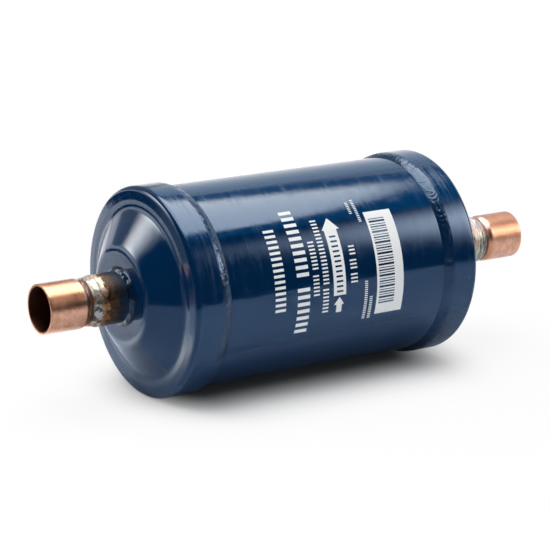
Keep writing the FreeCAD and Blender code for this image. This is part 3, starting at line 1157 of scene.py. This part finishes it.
def floor_white():
    """The floor's finish: a painted shadow where the drum touches it, and plain white to the camera away
    from it.
    """
    g = material("floor_white")
    point = g.place()
    beyond = SHADE_END_FADE * g.math("MAXIMUM", g.axial(point) - SHADE_LENGTH, 0.0)
    away = (beyond ** 2.0 + g.coordinate(point, "Y") ** 2.0) ** 0.5
    # Painted shadow: the floor's colour darkens along the drum's contact, to the camera and in reflections
    painted_shadow = 0.72 * (1.0 - away.between(0.006, 0.036))
    lit = 0.85 * away.between(0.009, 0.060) + 0.15 * away.between(0.06, 0.20)
    seen = g.ray("Camera")
    pale = g.blend(seen, FLOOR_MIRRORED, FLOOR_SEEN)
    shaded = g.blend(painted_shadow, pale, FLOOR_PAINTED_SHADOW)
    colour = g.blend(g.math("MAXIMUM", seen, g.ray("Glossy")), FLOOR_LIT, shaded)
    diffuse = g.node("ShaderNodeBsdfDiffuse", None, {"Color": colour})
    white = g.node("ShaderNodeEmission", None, {"Color": WHITE, "Strength": 1.0})
    mixed = g.node("ShaderNodeMixShader", None, {0: seen * lit, 1: diffuse, 2: white})
    g.node("ShaderNodeOutputMaterial", None, {"Surface": mixed})
    return g.owner


def build_softboxes():
    """The softbox overhead with its blue halo, and the softer lights behind and to the right."""
    level_card("overhead_softbox", SOFTBOX_EXTENT, SOFTBOX_HEIGHT, [
        (0.69, -0.29, 0.012), (0.712, -0.12, 0.012), (0.775, 0.06, 0.04), (0.79, 0.22, 0.09),
        (0.655, 0.50, 0.07), (0.51, 0.74, 0.05), (0.06, 0.58, 0.05), (-0.16, 0.46, 0.05),
        (-0.42, 0.28, 0.05), (-0.47, 0.0, 0.05), (-0.40, -0.30, 0.05), (0.10, -0.47, 0.035),
        (0.40, -0.41, 0.035),
    ], brightness=5.6, tint=SOFTBOX_TINT, ragged=0.15)
    level_card("softbox_halo", HALO_EXTENT, HALO_HEIGHT, [
        (0.25, -0.72, 0.25), (1.15, -0.72, 0.25), (1.15, 0.10, 0.15), (0.25, 0.10, 0.2),
    ], brightness=0.62, tint=HALO_TINT)
    ceiling = [(x, y, CEILING_HEIGHT) for x, y in ((0.1, 0.2), (1.8, 0.2), (1.8, 0.88), (0.1, 0.88))]
    card("ceiling", ceiling, brightness=0.52, tint=CEILING_TINT)
    soft_card(
        "back_left_softbox", azimuth=139.0, elevation=23.5, distance=1.4, width=1.0, height=0.52,
        brightness=12.0, tint=BACK_LIGHT_TINT,
    )
    soft_card(
        "back_left_haze", azimuth=136, elevation=8, distance=1.5, width=1.3, height=0.60,
        brightness=3.0, tint=HAZE_TINT,
    )
    soft_card(
        "front_right_glow", azimuth=-36, elevation=25.5, distance=1.2, width=0.74, height=0.98,
        brightness=9.6, tint=GLOW_TINT,
    )
    soft_card(
        "back_right_haze", azimuth=29, elevation=42, distance=1.5, width=0.95, height=0.50,
        brightness=1.3,
    )


def build_screens():
    """The dark and grey screens round the drier."""
    screen("front_screen", (-200, -8), (-7, 64))
    screen("side_screen", (60, 84), (12, 64), 0.35)
    screen("back_screen", (84, 122), (8, 64), 0.3)
    screen("left_screen", (122, 160), (-9, 64), 0.2)


def build_floor():
    """The pale floor, and the cards that make it end near the drier's front and left in reflections."""
    stage_piece("floor", square(-FLOOR_REACH, FLOOR_REACH, floor_height), floor_white())
    level_card("bright_floor", FLOOR_EXTENT, floor_height + 2 * FLOOR_LAYER, [
        (3.0, 0.06, 0.02), (3.0, 3.0, 0.01), (-2.32, 3.0, 0.02), (-0.145, 0.07, 0.02),
    ], brightness=1.4)
    level_card("dull_floor", FLOOR_EXTENT, floor_height + 3 * FLOOR_LAYER, [
        (-0.080, 0.02, 0.02), (-3.0, 0.06, 0.01), (-3.0, -3.0, 0.01), (-0.080, -3.0, 0.02),
    ], brightness=0.66, tint=DULL_FLOOR_TINT)
    level_card("front_apron", FLOOR_EXTENT, floor_height + 5 * FLOOR_LAYER, [
        (-0.255, 3.0, 0.03), (-0.255, -0.02, 0.03), (-0.24, -0.13, 0.03), (-0.19, -0.22, 0.03),
        (-0.09, -0.30, 0.03), (0.20, -0.34, 0.04), (3.0, -0.50, 0.01), (3.0, 3.0, 0.01),
    ], brightness=0.0, outside=True)
    level_card("left_apron", FLOOR_EXTENT, floor_height + 6 * FLOOR_LAYER, [
        (-0.165, 0.150, 0.02), (-2.5, 3.0, 0.01), (-3.0, 3.0, 0.01), (-3.0, 0.0, 0.01), (-0.21, 0.0, 0.02),
    ], brightness=0.3)
    beside_dome = (-0.106, 0.032, floor_height + 7 * FLOOR_LAYER)
    round_card("floor_bounce", beside_dome, width=0.084, height=0.076, brightness=2.8, tint=BOUNCE_TINT)


def build_sky():
    """White to the camera, dim as light, and in reflections bluer the higher it is."""
    world = bpy.data.worlds.new("studio")
    bpy.context.scene.world = world
    g = Graph(world)
    glossy = g.ray("Glossy")
    shown = g.math("MAXIMUM", g.ray("Camera"), g.math("MAXIMUM", glossy, g.ray("Transmission")))
    up = g.coordinate(g.node("ShaderNodeTexCoord", output="Generated"), "Z")
    mirrored = g.blend(up.between(0.0, 0.6), HORIZON_TINT, HIGH_TINT)
    sky = g.node("ShaderNodeBackground", None, {
        "Color": g.blend(glossy, WHITE, mirrored),
        "Strength": AMBIENT + (1 - AMBIENT) * shown,
    })
    g.node("ShaderNodeOutputWorld", None, {"Surface": sky})


def lamp(name, location, width, height, power):
    """A soft lamp aimed at the drier; it isn't seen in it, since the cards are."""
    data = bpy.data.lights.new(name, "AREA")
    data.shape = "RECTANGLE"
    data.size = width
    data.size_y = height
    data.energy = power
    thing = bpy.data.objects.new(name, data)
    thing.location = location
    thing.rotation_euler = (-Vector(location)).to_track_quat("-Z", "Y").to_euler()
    thing.visible_camera = False
    thing.visible_glossy = False
    bpy.context.collection.objects.link(thing)


def build_lamps():
    lamp("overhead_lamp", (-0.05, 0.10, 1.0), width=1.4, height=1.0, power=12.0)
    lamp("front_lamp", aimed(-95, 5, 1.4), width=1.0, height=0.8, power=3.0)
    lamp("back_left_lamp", aimed(131, 22, 1.4), width=0.8, height=0.5, power=6.0)


# The camera: its lens and sensor in millimetres, its place from the middle of the drum, and how far
# it looks down and turns from +Y towards +X
LENS = 148.15
SENSOR_WIDTH = 36.0
NEAREST_SEEN = 0.01
CAMERA_PLACE = (-0.45214, -0.66813, 0.20065)
CAMERA_DOWN = 14.096
CAMERA_TURN = 33.862


def build_camera():
    data = bpy.data.cameras.new("camera")
    data.lens = LENS
    data.sensor_width = SENSOR_WIDTH
    data.clip_start = NEAREST_SEEN
    thing = bpy.data.objects.new("camera", data)
    x, y, z = CAMERA_PLACE
    thing.location = (middle + x, y, z)
    thing.rotation_euler = Euler((math.radians(90 - CAMERA_DOWN), 0, math.radians(-CAMERA_TURN)))
    bpy.context.collection.objects.link(thing)
    bpy.context.scene.camera = thing


build_shell()
build_caps()
build_fittings()
build_print()
dress_inside()
build_floor()
build_softboxes()
build_screens()
build_sky()
build_lamps()
build_camera()
bpy.context.scene.view_settings.view_transform = "Standard"
